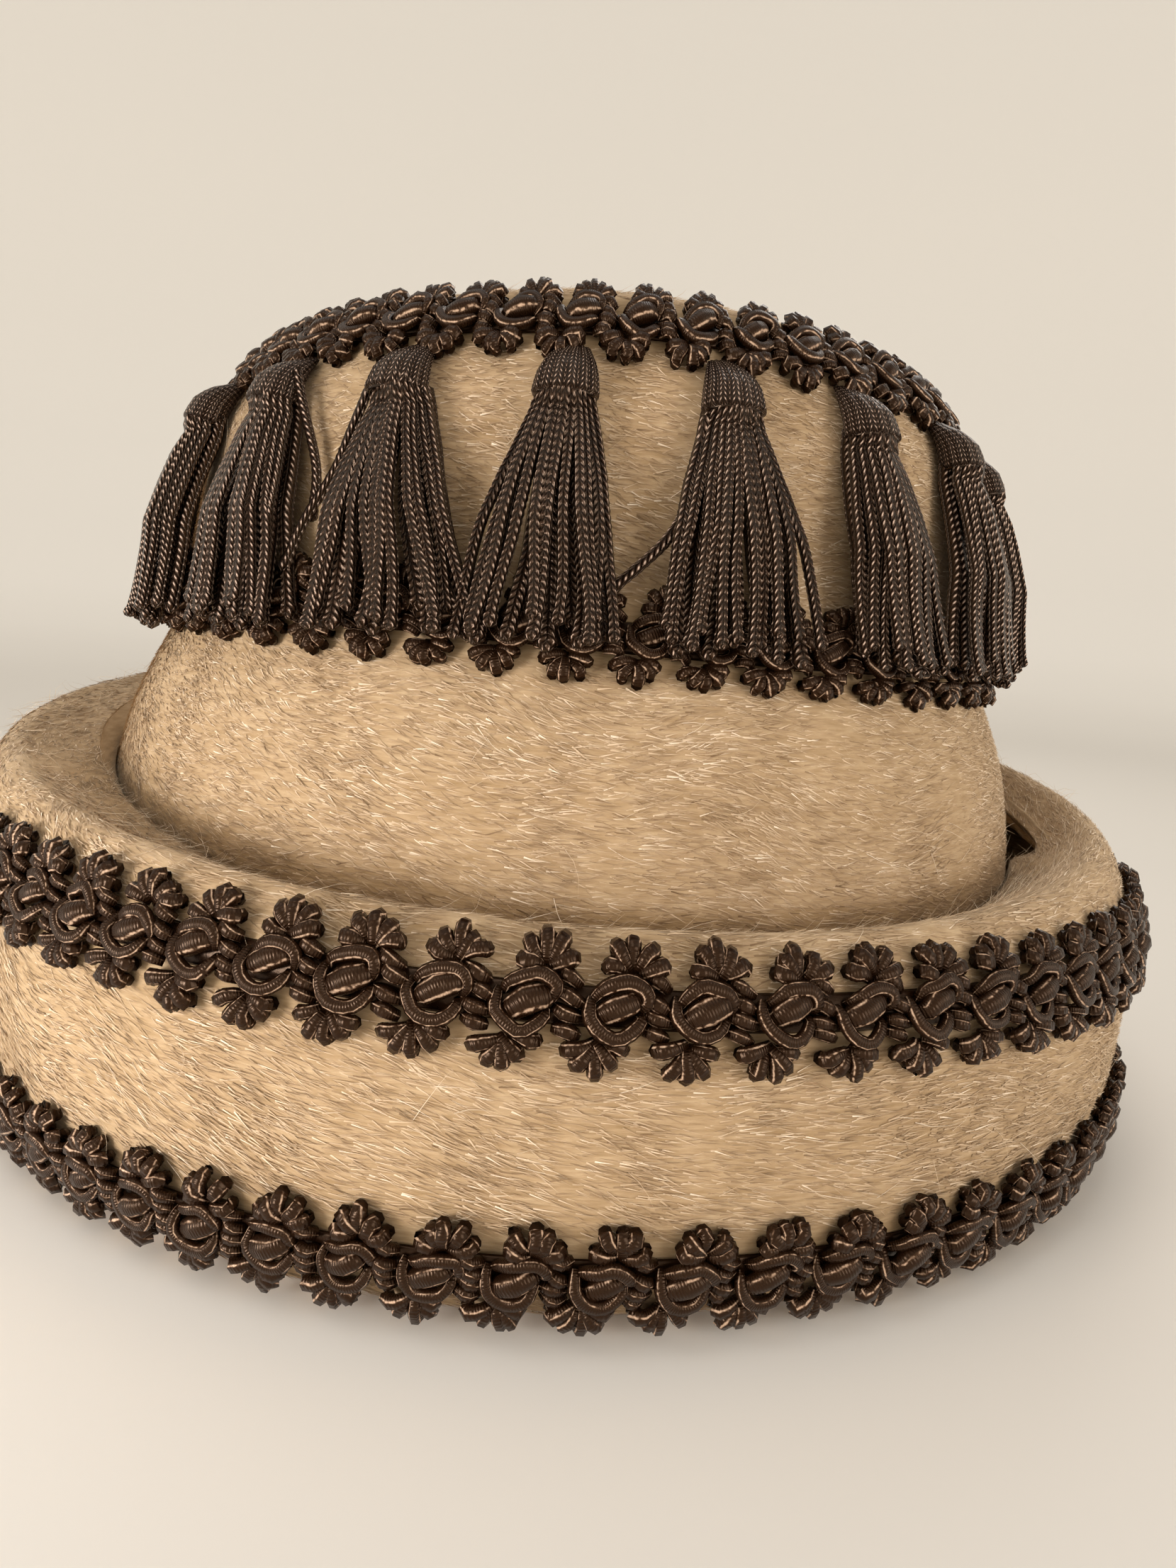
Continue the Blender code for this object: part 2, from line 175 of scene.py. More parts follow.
# How far aside the heads and the feet of some tassels hang, in millimetres
HEAD_ASIDE = {2: -1.2, 3: -3.0, 4: -2.0, 16: -1.0, 17: 0.8}
FOOT_ASIDE = {3: 3.0, 16: -1.0, 17: 0.8}
# Cords that strayed from their tassels: millimetres across, share of the length down, and lift
STRAY_CORDS = {
    2: [((-4.3, 0.19, 4.5), (-5.4, 0.36, 4.2), (-6.6, 0.50, 4.0), (-9.0, 0.61, 4.0),
         (-13.0, 0.72, 4.0), (-17.0, 0.82, 4.6))],
    18: [((4.2, 0.25, 4.0), (6.2, 0.50, 3.5), (9.6, 0.70, 4.6), (13.2, 0.86, 5.6), (14.5, 0.94, 5.4)),
         ((-4.2, 0.10, 4.0), (-6.6, 0.28, 3.4), (-8.6, 0.43, 3.2), (-12.0, 0.62, 4.2), (-13.5, 0.80, 5.0))],
    17: [((4.0, 0.06, 4.0), (6.8, 0.17, 3.2), (10.8, 0.34, 2.6), (12.6, 0.46, 2.6), (13.2, 0.60, 3.2))],
    4: [((3.5, 0.22, 5.0), (7.5, 0.45, 5.5), (10.5, 0.62, 6.0), (9.5, 0.74, 6.5), (6.0, 0.80, 6.5))],
}

# The lights: name, place, target, side, watts and colour, in metres
LIGHTS = (
    ("key", (-0.42, -0.53, 0.18), (0, 0, 0.08), 0.16, 0.21, (1.0, 0.97, 0.93)),
    ("low", (-0.24, -0.27, 0.05), (-0.08, -0.09, 0.03), 0.10, 0.17, (1.0, 0.98, 0.98)),
    ("fill", (0.6, -0.6, 0.22), (0, 0, 0.08), 0.5, 0.84, (1.0, 0.96, 0.93)),
    ("above", (-0.15, -0.25, 0.9), (0, 0, 0.05), 0.4, 0.28, (1.0, 0.97, 0.93)),
    ("back", (0.3, 0.8, 0.7), (0, 0, 0.1), 0.6, 0.6, (1.0, 0.96, 0.92)))
SKY_COLOUR, SKY_STRENGTH = (1.0, 0.96, 0.90, 1.0), 0.52

# The stage: radius and height of each ring after its middle, and points in a ring
STAGE_RINGS = np.array((
    (0.4, 0.0), (0.8, 0.0), (1.2, 0.0), (1.6, 0.02), (1.9, 0.08),
    (2.15, 0.2), (2.33, 0.38), (2.45, 0.62), (2.5, 1.0), (2.5, 2.2)))
STAGE_TURNS = 128
# The backdrop glows a little, more and more between these distances from the middle
GLOW_FROM, GLOW_TO, GLOW_STRENGTH = 0.35, 1.9, 0.20


# The surfaces of the felt and the charts on them


def rows_at(table, v):
    """Rows of a table at the row positions v, on smooth Catmull-Rom curves through its rows."""
    last = len(table) - 1
    i = np.clip(np.floor(v).astype(int), 0, last - 1)
    wide = v.shape + (1,) * (table.ndim - 1)
    t, past_first, before_last = (x.reshape(wide) for x in (v - i, i > 0, i + 1 < last))
    here, after = table[i], table[i + 1]
    before, beyond = table[np.maximum(i - 1, 0)], table[np.minimum(i + 2, last)]
    slope_here = np.where(past_first, (after - before) / 2, after - here)
    slope_after = np.where(before_last, (beyond - here) / 2, after - here)
    return (here * (1 + 2 * t) * (1 - t) ** 2 + slope_here * t * (1 - t) ** 2
            + after * t * t * (3 - 2 * t) - slope_after * t * t * (1 - t))


def along_path(controls, count):
    """Points at even steps on a Catmull-Rom curve through control points, for many curves at once."""
    steps = np.linspace(0, controls.shape[-2] - 1, count)
    return np.moveaxis(rows_at(np.moveaxis(controls, -2, 0), steps), 0, -2)


def crown_felt(angle, v):
    """Outside of the crown: ovals of the table's length and width, by the angle's cosine and sine."""
    height, length, width, dip = np.moveaxis(rows_at(CROWN_SECTIONS, v + 0 * angle), -1, 0)
    bottom = FELT + SEAM_GAP
    rise = CROWN_HEIGHT * height - TIP_DIP * dip * np.cos(angle) ** 2
    return np.stack((HEAD_LENGTH / 2 * length * np.cos(angle) + TIP_LEAN * height ** 2,
                     HEAD_WIDTH / 2 * width * np.sin(angle),
                     bottom + rise * (1 - bottom / CROWN_HEIGHT)), -1)


def degrees_off(angle, place):
    """How far directions are from a place around the hat, in degrees, either way."""
    return np.abs((np.degrees(angle) - place + 180) % 360 - 180)


def slit_share(angle):
    """How open the slit between the crown and the lip is: 1 in its middle, falling to 0 at its ends."""
    ramp = np.clip((SLIT_HALF + SLIT_RAMP - degrees_off(angle, SLIT_AT)) / SLIT_RAMP, 0, 1)
    return ramp * ramp * (3 - 2 * ramp)


def cuff_height(angle):
    """Height of the cuff, taller at the front and at the far side."""
    return BRIM_HEIGHT - BRIM_FRONT_RISE * np.cos(angle) + BRIM_FAR_RISE * np.sin(angle)


def brim_felt(angle, v):
    """Outside of the brim: the head band's oval grown by each fold's reach, groove and pinch."""
    reach, height, drop, groove, pinch = np.moveaxis(rows_at(BRIM_FOLDS, v + 0 * angle), -1, 0)
    ramp = np.clip((degrees_off(angle, LIP_CLOSED_AT) - LIP_CLOSED_SPREAD) / LIP_RAMP, 0, 1)
    near = np.minimum(1, degrees_off(angle, LIP_PINCH_AT) / LIP_PINCH_SPREAD)
    grow = (BRIM_REACH * reach + LIP_GROOVE * ramp * ramp * (3 - 2 * ramp) * groove
            + LIP_PINCH * np.cos(math.pi / 2 * near) ** 2 * pinch
            + SLIT_CURL * slit_share(angle) * np.clip(v - SLIT_ROW, 0, 1) ** 1.5)
    fall = LIP_DROP * drop * (1 - LIP_SHALLOW * np.minimum(0, np.cos(angle)) ** 2)
    return np.stack(((HEAD_LENGTH / 2 + grow) * np.cos(angle), (HEAD_WIDTH / 2 + grow) * np.sin(angle),
                     cuff_height(angle) * height - fall), -1)


def top_edge(angle):
    """Height of the lower edge of the top braid."""
    return TOP_BRAID_Z - TIP_DIP * np.cos(angle) ** 2


def upper_edge(angle):
    """Height of the lower edge of the braid at the top of the cuff."""
    return UPPER_BRAID_Z + UPPER_BRAID_SLOPE * (HEAD_LENGTH / 2 + BRIM_REACH) * np.cos(angle)


def waist_edge(angle):
    """Height of the lower edge of the braid at the waist of the crown."""
    return WAIST_BRAID_Z + WAIST_BRAID_SLOPE * HEAD_LENGTH / 2 * np.cos(angle)


def lower_edge(angle):
    """Height of the lower edge of the braid beside the floor."""
    return LOWER_BRAID_Z + 0 * angle


def unit(vectors):
    """Vectors made one long."""
    return vectors / np.maximum(np.linalg.norm(vectors, axis=-1, keepdims=True), 1e-9)


def outward(felt, table, angle, v):
    """Unit normals of a felt surface, the cross product of its slopes around and up."""
    step = 0.02
    low, high = np.maximum(0.0, v - step), np.minimum(len(table) - 1.0, v + step)
    up = felt(angle, high) - felt(angle, low)
    along = felt(angle + step, v) - felt(angle - step, v)
    flat = np.linalg.norm(along, axis=-1, keepdims=True) < 1e-3
    return np.where(flat, (0.0, 0.0, 1.0), unit(np.cross(along, up)))


def run_length(points, axis):
    """Length along a line of points so far, starting at 0."""
    steps = np.linalg.norm(np.diff(points, axis=axis), axis=-1)
    return np.concatenate((np.zeros_like(np.take(steps, [0], axis)), np.cumsum(steps, axis)), axis)


class Chart:
    """A belt of felt unrolled: points and normals on a grid of directions and of climbs from an edge."""

    TURNS = 480
    STEP = 0.5
    FINE_ROWS = 12

    def __init__(self, felt, table, edge, low, high):
        turn = np.linspace(0, 2 * math.pi, self.TURNS + 1)
        rows = np.linspace(0, len(table) - 1, (len(table) - 1) * self.FINE_ROWS + 1)
        points = felt(turn[:, None], rows[None, :])
        run = run_length(points, 1)
        self.climbs = np.arange(low, high + self.STEP, self.STEP)
        v = np.empty((len(turn), len(self.climbs)))
        for k, level in enumerate(edge(turn) + 0 * turn):
            top = int(np.argmax(points[k, :, 2])) + 1
            start = np.interp(level, points[k, :top, 2], run[k, :top])
            v[k] = np.interp(start + self.climbs, run[k], rows)
        self.low = low
        self.points = felt(turn[:, None], v)
        self.normals = outward(felt, table, turn[:, None] + 0 * v, v)
        self.turn = turn
        self.set_gauge(0.0)

    def set_gauge(self, climb):
        """Lengths around are measured at this climb from here on."""
        self.around = run_length(self.points[:, int(round((climb - self.low) / self.STEP))], 0)
        self.total = self.around[-1]

    def at(self, degrees):
        """Length around at a direction in degrees."""
        return np.interp(np.radians(degrees) % (2 * math.pi), self.turn, self.around)

    def lay(self, around, climb, lift):
        """Points at lengths around, climbs up the felt and lifts off it, blended from the grid's points."""
        a = np.interp(np.mod(around, self.total), self.around, np.arange(len(self.turn)))
        c = np.clip((climb - self.low) / self.STEP, 0, len(self.climbs) - 1.001)
        i, j = np.minimum(a.astype(int), len(self.turn) - 2), c.astype(int)
        s, t = (a - i)[..., None], (c - j)[..., None]

        def blend(grid):
            return ((grid[i, j] * (1 - s) + grid[i + 1, j] * s) * (1 - t)
                    + (grid[i, j + 1] * (1 - s) + grid[i + 1, j + 1] * s) * t)
        return blend(self.points) + blend(self.normals) * np.asarray(lift)[..., None]


def wander(points, length, seed):
    """Smooth noise between about -1 and 1: a sum of eight sine waves of about that length in 3-D."""
    draw = np.random.default_rng(seed)
    waves = unit(draw.normal(size=(8, 3))) * draw.uniform(0.6, 1.6, (8, 1)) * 2 * math.pi / length
    return np.sin(points @ waves.T + draw.uniform(0, 2 * math.pi, 8)).sum(-1) / 4


# Meshes


class Heap:
    """Points and faces of one piece, with a UV for each corner in millimetres and a tone for each point."""

    def __init__(self):
        self.points, self.corners, self.sizes, self.uvs, self.tones, self.count = [], [], [], [], [], 0

    def add(self, points, faces, uvs=None, tones=None):
        """Points as (n, 3), and faces as an (f, k) array or a list of them, each of one corner count."""
        points = points.reshape(-1, 3)
        faces = faces if isinstance(faces, list) else [faces]
        uvs = uvs if isinstance(uvs, list) else [uvs]
        for face, uv in zip(faces, uvs + [None] * len(faces)):
            self.corners.append((face + self.count).ravel())
            self.sizes.append(np.full(len(face), face.shape[1]))
            self.uvs.append(np.zeros((face.size, 2)) if uv is None else uv.reshape(-1, 2))
        self.tones.append(np.full(len(points), 0.5) if tones is None else tones.ravel())
        self.points.append(points)
        self.count += len(points)

    def build(self, name, material, stands_for=None):
        """The finished object, smooth, riding on the hat."""
        points, corners = np.concatenate(self.points) * MM, np.concatenate(self.corners)
        sizes = np.concatenate(self.sizes)
        mesh = bpy.data.meshes.new(name)
        mesh.vertices.add(len(points))
        mesh.vertices.foreach_set("co", points.astype(np.float32).ravel())
        mesh.loops.add(len(corners))
        mesh.loops.foreach_set("vertex_index", corners.astype(np.int32))
        mesh.polygons.add(len(sizes))
        starts = np.concatenate(([0], np.cumsum(sizes)[:-1]))
        mesh.polygons.foreach_set("loop_start", starts.astype(np.int32))
        layer = mesh.uv_layers.new(name="lay")
        layer.uv.foreach_set("vector", np.concatenate(self.uvs).astype(np.float32).ravel())
        tone = mesh.attributes.new("tone", "FLOAT", "POINT")
        tone.data.foreach_set("value", np.concatenate(self.tones).astype(np.float32))
        mesh.update(calc_edges=True)
        mesh.shade_smooth()
        mesh.materials.append(material)
        obj = bpy.data.objects.new(name, mesh)
        bpy.context.scene.collection.objects.link(obj)
        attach(obj, "root")
        if stands_for:
            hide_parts(stands_for)
        return obj


def grid_faces(rows, columns):
    """Quads between rings of points, the last point of a ring joined to its first."""
    a = (np.arange(rows - 1)[:, None] * columns + np.arange(columns)).ravel()
    b = (np.arange(rows - 1)[:, None] * columns + (np.arange(columns) + 1) % columns).ravel()
    return np.stack((a, b, b + columns, a + columns), -1)


def quad_uvs(low, high, left, right):
    """UVs of quads from their limits along and around, in the order of a quad's corners."""
    return np.stack((np.stack((low, left), -1), np.stack((high, left), -1),
                     np.stack((high, right), -1), np.stack((low, right), -1)), -2)


def sweep(paths, radii, sides, start=0.0):
    """Round cords along many paths at once, closed at both ends, in the chart's own flat space.

    Each ring is a circle across the path. Its side is the path's direction crossed with the lift, and its
    rise the side crossed with the direction. The seam is underneath, a face lies on top, and the UV along a
    cord begins at its start.
    """
    count, rings = paths.shape[:2]
    forward = unit(np.gradient(paths, axis=1))
    side = unit(np.cross(forward, (0.0, 0.0, 1.0)))
    rise = np.cross(side, forward)
    turn = 2 * math.pi * (np.arange(sides) - 0.5 * (sides % 2 == 0)) / sides - math.pi / 2
    ring = side[:, :, None] * np.cos(turn)[:, None] + rise[:, :, None] * np.sin(turn)[:, None]
    points = paths[:, :, None] + ring * radii[..., None, None]
    block = rings * sides
    quads = grid_faces(rings, sides)[:, [0, 3, 2, 1]]
    quads = (quads + block * np.arange(count)[:, None, None]).reshape(-1, 4)
    ring = np.arange(sides)
    ends = np.stack((ring, (ring + block - sides)[::-1]))
    ends = (ends + block * np.arange(count)[:, None, None]).reshape(-1, sides)
    run = run_length(paths, 1) + start
    low, high = run[:, :-1, None], run[:, 1:, None]
    left = np.broadcast_to(np.arange(sides) / sides, (count, rings - 1, sides))
    uv = quad_uvs(low + 0 * left, high + 0 * left, left, left + 1 / sides)
    return points, [quads, ends], [uv, None]


# Materials


class Finish:
    """A material that is built node by node."""

    def __init__(self, name, colour, roughness, **sockets):
        self.material = bpy.data.materials.new(name)
        self.material.use_nodes = True
        self.tree = self.material.node_tree
        self.shader = self.tree.nodes["Principled BSDF"]
        sockets.update({"Base Color": (*colour, 1.0), "Roughness": roughness})
        for socket, value in sockets.items():
            self.shader.inputs[socket.replace("_", " ")].default_value = value

    def node(self, kind, inputs=(), **settings):
        """A node with its settings, and its inputs by name or number: a value, or another node's output."""
        node = self.tree.nodes.new(kind)
        for key, value in settings.items():
            setattr(node, key, value)
        for key, value in dict(inputs).items():
            if isinstance(value, bpy.types.NodeSocket):
                self.tree.links.new(value, node.inputs[key])
            else:
                node.inputs[key].default_value = value
        return node

    def maths(self, operation, first, second=0.0):
        """Output of a maths node."""
        return self.node("ShaderNodeMath", {0: first, 1: second}, operation=operation).outputs[0]

    def plus(self, first, second):
        """Output of a sum."""
        return self.maths("ADD", first, second)

    def times(self, first, second):
        """Output of a product."""
        return self.maths("MULTIPLY", first, second)

    def noise(self, vector, scale, detail, roughness=0.5):
        """Output of a noise texture."""
        sockets = {"Vector": vector, "Scale": scale, "Detail": detail, "Roughness": roughness}
        return self.node("ShaderNodeTexNoise", sockets).outputs["Fac"]

    def attribute(self, name, output):
        """Output of an attribute of the mesh."""
        return self.node("ShaderNodeAttribute", attribute_name=name).outputs[output]

    def cord_uv(self):
        """Outputs of a cord's UV: the length along it in millimetres, and the way around it from 0 to 1."""
        place = self.node("ShaderNodeUVMap", uv_map="lay").outputs["UV"]
        return self.node("ShaderNodeSeparateXYZ", {0: place}).outputs[:2]

    def ramp(self, factor, stops):
        """Output colour of a ramp through (place, colour) stops."""
        node = self.node("ShaderNodeValToRGB", {"Fac": factor})
        elements = node.color_ramp.elements
        while len(elements) < len(stops):
            elements.new(0.5)
        for element, (place, colour) in zip(elements, stops):
            element.position, element.color = place, (*colour, 1.0)
        return node.outputs["Color"]

    def link(self, output, socket):
        """Joins an output to a socket of the shader."""
        self.tree.links.new(output, self.shader.inputs[socket])

    def bump(self, height, strength, distance):
        """Bumps the surface by a height."""
        node = self.node("ShaderNodeBump", {"Height": height, "Strength": strength, "Distance": distance})
        self.link(node.outputs["Normal"], "Normal")


def felt_finish():
    """Matted felt under the nap: streaks of noise that is drawn out around the hat, soft patches, and the
    painted shade of the groove from the tone.
    """
    finish = Finish("felt_wall", (0.5, 0.36, 0.22), 0.95, Specular_IOR_Level=0.15, Sheen_Weight=0.25,
                    Sheen_Roughness=0.5, Sheen_Tint=(1.0, 0.86, 0.66, 1.0))
    flow = finish.attribute("flow", "Vector")
    streaks, patches = finish.noise(flow, 1.6, 5.0, 0.6), finish.noise(flow, 0.12, 2.0)
    mixed = finish.plus(finish.times(streaks, 0.75), finish.times(patches, 0.25))
    # Painted shade: the tone darkens the felt in the groove between the crown and the lip.
    shade = finish.maths("SUBTRACT", finish.attribute("tone", "Fac"), 0.5)
    stops = ((0.10, (0.175, 0.103, 0.046)), (0.35, (0.37, 0.242, 0.122)),
             (0.5, (0.46, 0.314, 0.176)), (0.7, (0.585, 0.424, 0.256)))
    finish.link(finish.ramp(finish.plus(mixed, shade), stops), "Base Color")
    finish.bump(streaks, 0.5, 0.0004)
    return finish.material


def nap_finish():
    """Hairs of the nap, each of its own tone, which also carries the painted shade of the groove."""
    finish = Finish("felt_nap", (0.6, 0.44, 0.28), 0.8, Specular_IOR_Level=0.3, Sheen_Weight=0.3,
                    Sheen_Roughness=0.45, Sheen_Tint=(1.0, 0.88, 0.68, 1.0))
    stops = ((0.0, (0.21, 0.124, 0.060)), (0.3, (0.36, 0.236, 0.128)), (0.5, (0.48, 0.332, 0.196)),
             (0.75, (0.69, 0.520, 0.345)), (1.0, (0.95, 0.81, 0.63)))
    finish.link(finish.ramp(finish.attribute("tone", "Fac"), stops), "Base Color")
    return finish.material


def gimp_finish():
    """Silky thread wound round a cord: fine slanted ridges across it, and two broken lines of painted
    highlight.

    The lines lie where the way around the cord, from 0 to 1 with the seam underneath, is as in
    PAINTED_HIGHLIGHT_PLACES.
    """
    finish = Finish("gimp_silk", (0.022, 0.010, 0.005), 0.27, Specular_IOR_Level=0.34,
                    Specular_Tint=(1.0, 0.66, 0.44, 1.0))
    along, around = finish.cord_uv()
    turn = finish.plus(finish.times(along, 2 * math.pi / THREAD), finish.times(around, 2 * math.pi))
    ridge = finish.times(finish.maths("SINE", turn), 0.5)
    spot = finish.node("ShaderNodeTexCoord").outputs["Object"]
    fuzz, drift = finish.noise(spot, 1400.0, 2.0), finish.noise(spot, 260.0, 1.0)
    painted_highlight = 0.0
    for middle, width, strength in PAINTED_HIGHLIGHT_PLACES:
        place = finish.plus(finish.times(drift, LINE_DRIFT), middle - LINE_DRIFT / 2)
        off = finish.maths("ABSOLUTE", finish.maths("SUBTRACT", around, place))
        line = finish.maths("SUBTRACT", 1.0, finish.maths("DIVIDE", off, width))
        painted_highlight = finish.plus(finish.times(finish.maths("MAXIMUM", line, 0.0), strength), painted_highlight)
    painted_highlight = finish.times(painted_highlight, finish.plus(finish.times(fuzz, 4.2), -1.3))
    finish.bump(finish.plus(ridge, fuzz), 0.5, 0.0001)
    # The ramp runs from the silk's dark brown to the painted highlight of the lines.
    stops = ((0.0, (0.014, 0.0056, 0.0024)), (0.25, (0.050, 0.024, 0.012)), (0.9, (0.56, 0.38, 0.26)))
    finish.link(finish.ramp(painted_highlight, stops), "Base Color")
    return finish.material


def plait_finish():
    """Plaited cord: two columns of slanted stitches that meet in a V down the middle of its front, with
    painted shade and highlights.
    """
    finish = Finish("plait_silk", (0.032, 0.019, 0.013), 0.22, Specular_IOR_Level=0.55,
                    Specular_Tint=(1.0, 0.70, 0.50, 1.0))
    along, around = finish.cord_uv()
    aside = finish.maths("ABSOLUTE", finish.maths("SUBTRACT", around, 0.5))
    slope = finish.times(aside, STITCH_SLANT)
    slant = finish.maths("SUBTRACT", finish.maths("DIVIDE", along, STITCH), slope)
    stitch = finish.maths("ABSOLUTE", finish.maths("SINE", finish.times(slant, math.pi)))
    column = finish.maths("ABSOLUTE", finish.maths("SINE", finish.times(aside, 4 * math.pi)))
    height = finish.times(finish.maths("POWER", stitch, 0.6), finish.maths("POWER", column, 0.5))
    finish.bump(height, 1.0, 0.0006)
    # The colour follows the stitch height: painted shade, near black, in the dips between stitches, and a
    # painted highlight on their crests.
    stops = ((0.05, (0.003, 0.0014, 0.0008)), (0.6, (0.018, 0.0085, 0.0045)),
             (0.90, (0.055, 0.030, 0.019)), (1.0, (0.74, 0.54, 0.42)))
    finish.link(finish.ramp(height, stops), "Base Color")
    return finish.material


# Felt


def felt_wall(name, felt, table, closed_tip, material):
    """A felt shell that stands for its CAD node: the outside, and that surface drawn in by the felt.

    A wall with a closed tip has a point at the top of either side. The other runs over its edge and back.
    """
    turn = math.pi / 2 + 2 * math.pi * np.arange(FELT_TURNS) / FELT_TURNS
    rows = np.linspace(0, len(table) - 1, (len(table) - 1) * FELT_STEPS + 1)[:, None]
    if closed_tip:
        rows = rows[:-1]
    outer = felt(turn[None, :], rows)
    normals = outward(felt, table, turn[None, :] + 0 * rows, rows + 0 * turn[None, :])
    wave = FELT_WAVE * wander(outer, FELT_WAVE_LENGTH, 3)[..., None] * normals
    wave[outer[..., 2] < 1.0] = 0
    outer, inner = outer + wave, outer - FELT * normals + wave
    if closed_tip:
        inner[0, :, 2] = outer[0, :, 2]
        rings = np.concatenate((inner[::-1], outer))
        tip = felt(np.zeros(1), np.full(1, len(table) - 1.0))
        points = np.concatenate((rings.reshape(-1, 3), tip - (0, 0, FELT), tip))
        k = np.arange(FELT_TURNS)
        after, end = (k + 1) % FELT_TURNS, len(rings) * FELT_TURNS
        top = end - FELT_TURNS
        faces = [grid_faces(len(rings), FELT_TURNS), np.stack((after, k, 0 * k + end), -1),
                 np.stack((top + k, top + after, 0 * k + end + 1), -1)]
    else:
        slit, open_edge = slit_share(turn)[:, None], outer[-1] + (0.0, 0.0, -LIP_OPEN_DROP)
        tuck = tucked_edge(turn, outer[-1, :, 2]) * (1 - slit) + open_edge * slit
        share = np.array((0.35, 0.7, 1.0))[:, None, None]
        over = outer[-1] * (1 - share) + tuck * share
        under = over - np.array((0.0, 0.0, 1.0)) * FELT * (1 - 0.6 * share)
        rings = np.concatenate((outer, over, under[::-1], inner[::-1]))
        points = rings.reshape(-1, 3)
        faces = grid_faces(len(rings) + 1, FELT_TURNS) % len(points)
    heap = Heap()
    # The tone carries the painted shade of the groove.
    heap.add(points, faces, tones=painted_groove_shade(points))
    obj = heap.build(name + "_felt", material, name)
    squeeze = np.stack((points[:, 0] * FLOW_SQUEEZE, points[:, 1] * FLOW_SQUEEZE, points[:, 2]), -1)
    flow = obj.data.attributes.new("flow", "FLOAT_VECTOR", "POINT")
    flow.data.foreach_set("vector", squeeze.astype(np.float32).ravel())


def tucked_edge(turn, level):
    """Where the edge of the rolled lip meets the crown: below the lip's end, just clear of the crown."""
    level = level - LIP_TUCK * (1 + 0.5 * np.minimum(0, np.cos(turn)))
    seam = Chart(crown_felt, CROWN_SECTIONS,
                 lambda angle: np.interp(angle, turn, level, period=2 * math.pi), -1.0, 1.0)
    return seam.lay(seam.at(np.degrees(turn)), 0 * turn, LIP_CLEAR + 0 * turn)


def painted_groove_shade(points):
    """Tone of the felt with painted shade: darker in the groove between the crown and the rolled lip, where
    shade falls.
    """
    below = cuff_height(np.arctan2(points[:, 1], points[:, 0])) - GROOVE_BELOW - points[:, 2]
    oval = np.hypot(points[:, 0] / (HEAD_LENGTH / 2), points[:, 1] / (HEAD_WIDTH / 2))
    return 0.5 - GROOVE_PAINTED_SHADE * (np.clip(below / GROOVE_RAMP, 0, 1) * np.clip((1.10 - oval) / 0.05, 0, 1))


def under_braid(place, edge, top):
    """Which points a braid covers, from just above its lower edge to a height above that."""
    over = place[:, 2] - edge(np.arctan2(place[:, 1], place[:, 0]))
    return (over > BARE_FROM) & (over < top)


def crown_bare(climb, place):
    """Which points of the crown have no nap."""
    return under_braid(place, waist_edge, BARE_TO) | under_braid(place, top_edge, BARE_FAR_TO)


def brim_bare(climb, place):
    """Which points of the brim have no nap, all on the outside of the cuff."""
    covered = under_braid(place, lower_edge, BARE_FAR_TO) | under_braid(place, upper_edge, BARE_TO)
    return (climb < CUFF_CLIMB) & covered


def nap(name, chart, count, climbs, bare, material, seed):
    """Short hairs that lie on the felt, each one triangle from a broad root to a lifted tip.

    Hairs run around the hat, turned by a smooth wander, and none roots where bare says that a braid is.
    """
    draw = np.random.default_rng(seed)
    around, climb = draw.uniform(0, chart.total, 2 * count), draw.uniform(*climbs, 2 * count)
    root = chart.lay(around, climb, np.zeros(2 * count))
    girth = np.hypot(root[:, 0], root[:, 1])
    keep = (draw.uniform(0, girth.max(), 2 * count) < girth) & ~bare(climb, root)
    around, climb, root = (part[keep][:count] for part in (around, climb, root))
    count = len(around)
    lean = (HAIR_SLANT + HAIR_TURN * root[:, 0] / HEAD_LENGTH
            + HAIR_SWIRL * wander(root, SWIRL_LENGTH, seed + 1) + draw.normal(0, HAIR_MESS, count))
    length = draw.uniform(*HAIR_LENGTH, count)[:, None]
    breadth = (HAIR_BREADTH * draw.uniform(0.6, 1.3, count))[:, None]
    lift = draw.uniform(*HAIR_LIFT, count)
    run, side = np.stack((np.cos(lean), np.sin(lean)), -1), np.stack((-np.sin(lean), np.cos(lean)), -1)
    place = np.stack((around, climb), -1)
    corners = np.stack((place - side * breadth / 2, place + run * length, place + side * breadth / 2), 1)
    lifts = np.stack((ROOT_LIFT + 0 * lift, lift, ROOT_LIFT + 0.35 * lift * draw.uniform(-1, 1, count)), -1)
    points = chart.lay(corners[..., 0], corners[..., 1], np.maximum(lifts, 0.02))
    tone = 0.5 + PATCH_TONE * wander(root, PATCH_LENGTH, seed + 2) + draw.normal(0, HAIR_TONE, count)
    # Hairs in the groove take its painted shade as well.
    tone = np.clip(tone + painted_groove_shade(root) - 0.5, 0, 1)
    heap = Heap()
    heap.add(points, np.arange(3 * count).reshape(-1, 3), tones=np.repeat(tone, 3))
    heap.build(name, material)


